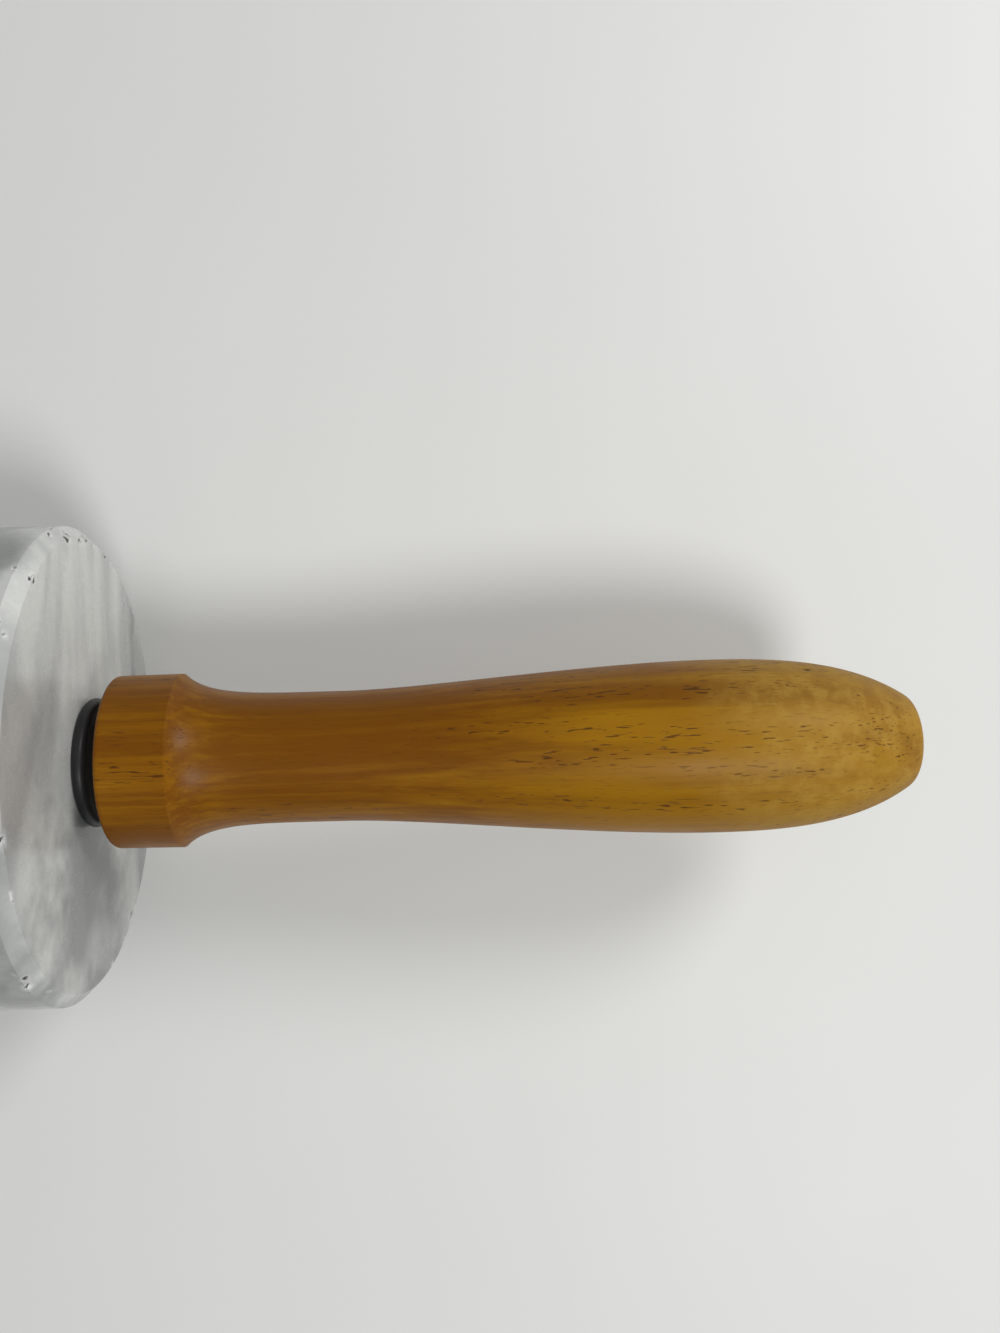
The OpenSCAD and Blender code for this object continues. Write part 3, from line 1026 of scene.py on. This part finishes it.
class ROLLINGPIN_OT_handles(bpy.types.Operator):
    """Make the two turned and varnished handles, with nicks at their noses"""

    bl_idname = "rollingpin.handles"
    bl_label = "Handles"

    nicks: number("Nicks", "Nicks on each square metre of the nose", 20000.0)
    nicks_from: length("Nicks from", "Distance from the inner face to the first nicks", 80.0)
    nicks_outside: length("Nicks outside", "Radius that stays free of nicks at the tip", 4.5)
    nick_squeeze: number("Nick squeeze", "Below one, nicks are longer along the grain", 0.6)
    seed: fixed_seed(4)

    def execute(self, context):
        handle = context.scene.rolling_pin_handle
        wood = wood_material(handle)
        outline = handle_outline(handle)
        right = turned_piece("handle_right_dressed", outline, wood, ROUND_SEGMENTS, crease=26.0)
        shape_with(right, tree_of("Dents", dents_tree), {
            "Start": HANDLE_FACE + self.nicks_from,
            "Stop": HANDLE_END,
            "Inner radius": self.nicks_outside,
            "Density": self.nicks,
            "Size": handle.nick_size,
            "Depth": handle.nick_depth,
            "Stretch": self.nick_squeeze,
            "Seed": self.seed,
            "Material": wood,
        })
        left = mirrored(right, "handle_left_dressed")
        settle(right, "handles", "handle_right")
        settle(left, "handles", "handle_left")
        return {"FINISHED"}


class ROLLINGPIN_OT_stage(bpy.types.Operator):
    """Set the table, the lamps and the camera"""

    bl_idname = "rollingpin.stage"
    bl_label = "Stage"

    table_size: length("Table size", "Half the width of the table", 3000.0)
    lamp_distance: length("Lamp distance", "Distance of both lamps from the handle", 650.0)
    lamp_width: length("Lamp width", "Diameter of both lamps", 215.0)
    lamp_aim: length("Lamp aim", "How far past the marble the lamps point", 55.0)

    def execute(self, context):
        stage = context.scene.rolling_pin_stage
        self.set_table(context, stage)
        self.set_lamp(context, "key", stage.key_direction, stage.key_watts)
        self.set_lamp(context, "fill", stage.fill_direction, stage.fill_watts)
        self.set_daylight(context, stage)
        self.set_camera(context, stage)
        context.scene.view_settings.view_transform = "Standard"
        return {"FINISHED"}

    def set_table(self, context, stage):
        """Lays the table under the barrel."""
        half = self.table_size
        corners = [(-half, -half), (half, -half), (half, half), (-half, half)]
        mesh = bpy.data.meshes.new("table")
        mesh.from_pydata([(x, y, TABLE_HEIGHT) for x, y in corners], [], [(0, 1, 2, 3)])
        mesh.materials.append(table_material(stage))
        table = bpy.data.objects.new("table", mesh)
        context.scene.collection.objects.link(table)

    def set_daylight(self, context, stage):
        """Surrounds the pin with even light."""
        world = bpy.data.worlds.new("daylight")
        world.use_nodes = True
        background = world.node_tree.nodes["Background"]
        background.inputs["Color"].default_value = opaque(stage.sky)
        background.inputs["Strength"].default_value = stage.daylight
        context.scene.world = world

    def set_lamp(self, context, name, towards, watts):
        """Hangs a round soft lamp in that direction from the handle."""
        aim = Vector((BARREL_END + self.lamp_aim, 0.0, 0.0))
        lamp = bpy.data.lights.new(name, "AREA")
        lamp.shape = "DISK"
        lamp.size = self.lamp_width
        lamp.energy = watts
        holder = bpy.data.objects.new(name, lamp)
        holder.location = aim + Vector(towards).normalized() * self.lamp_distance
        holder.rotation_mode = "QUATERNION"
        holder.rotation_quaternion = Vector(towards).to_track_quat("Z", "Y")
        context.scene.collection.objects.link(holder)

    def set_camera(self, context, stage):
        """Points the camera down at the right handle."""
        camera = bpy.data.cameras.new("camera")
        camera.sensor_width = SENSOR_WIDTH
        camera.lens = stage.focal_pixels / PICTURE_HEIGHT * SENSOR_WIDTH
        camera.clip_start = 5 * MM
        roll = stage.camera_roll
        level = Vector((math.cos(stage.camera_lean), 0.0, math.sin(stage.camera_lean)))
        upright = Vector((0.0, 1.0, 0.0))
        right = math.cos(roll) * level - math.sin(roll) * upright
        up = math.sin(roll) * level + math.cos(roll) * upright
        back = right.cross(up)
        place = Matrix((right, up, back)).transposed().to_4x4()
        past_middle = BARREL_END + stage.camera_past
        place.translation = (past_middle, stage.camera_aside, stage.camera_height)
        holder = bpy.data.objects.new("camera", camera)
        holder.matrix_world = place
        context.scene.collection.objects.link(holder)
        context.scene.camera = holder


class ROLLINGPIN_PT_panel(bpy.types.Panel):
    """Lists the steps that dress the rolling pin"""

    bl_idname = "ROLLINGPIN_PT_panel"
    bl_label = "Rolling Pin"
    bl_space_type = "VIEW_3D"
    bl_region_type = "UI"
    bl_category = "Rolling Pin"

    def draw(self, context):
        for step in STEPS:
            self.layout.operator(step.bl_idname)


STEPS = (
    ROLLINGPIN_OT_barrel,
    ROLLINGPIN_OT_bushings,
    ROLLINGPIN_OT_rod,
    ROLLINGPIN_OT_inserts,
    ROLLINGPIN_OT_handles,
    ROLLINGPIN_OT_stage,
)
SETTINGS = {
    "rolling_pin_barrel": RollingPinBarrel,
    "rolling_pin_handle": RollingPinHandle,
    "rolling_pin_stage": RollingPinStage,
}


def register():
    """Registers the settings, the steps and the panel."""
    for name, group in SETTINGS.items():
        bpy.utils.register_class(group)
        setattr(bpy.types.Scene, name, PointerProperty(type=group))
    for step in STEPS:
        bpy.utils.register_class(step)
    bpy.utils.register_class(ROLLINGPIN_PT_panel)


def unregister():
    """Takes away what register added."""
    bpy.utils.unregister_class(ROLLINGPIN_PT_panel)
    for step in reversed(STEPS):
        bpy.utils.unregister_class(step)
    for name, group in SETTINGS.items():
        delattr(bpy.types.Scene, name)
        bpy.utils.unregister_class(group)


def main():
    """Dresses the pin step by step."""
    register()
    bpy.ops.rollingpin.barrel()
    bpy.ops.rollingpin.bushings()
    bpy.ops.rollingpin.rod()
    bpy.ops.rollingpin.inserts()
    bpy.ops.rollingpin.handles()
    bpy.ops.rollingpin.stage()
    bpy.context.view_layer.update()


if __name__ == "__main__":
    main()
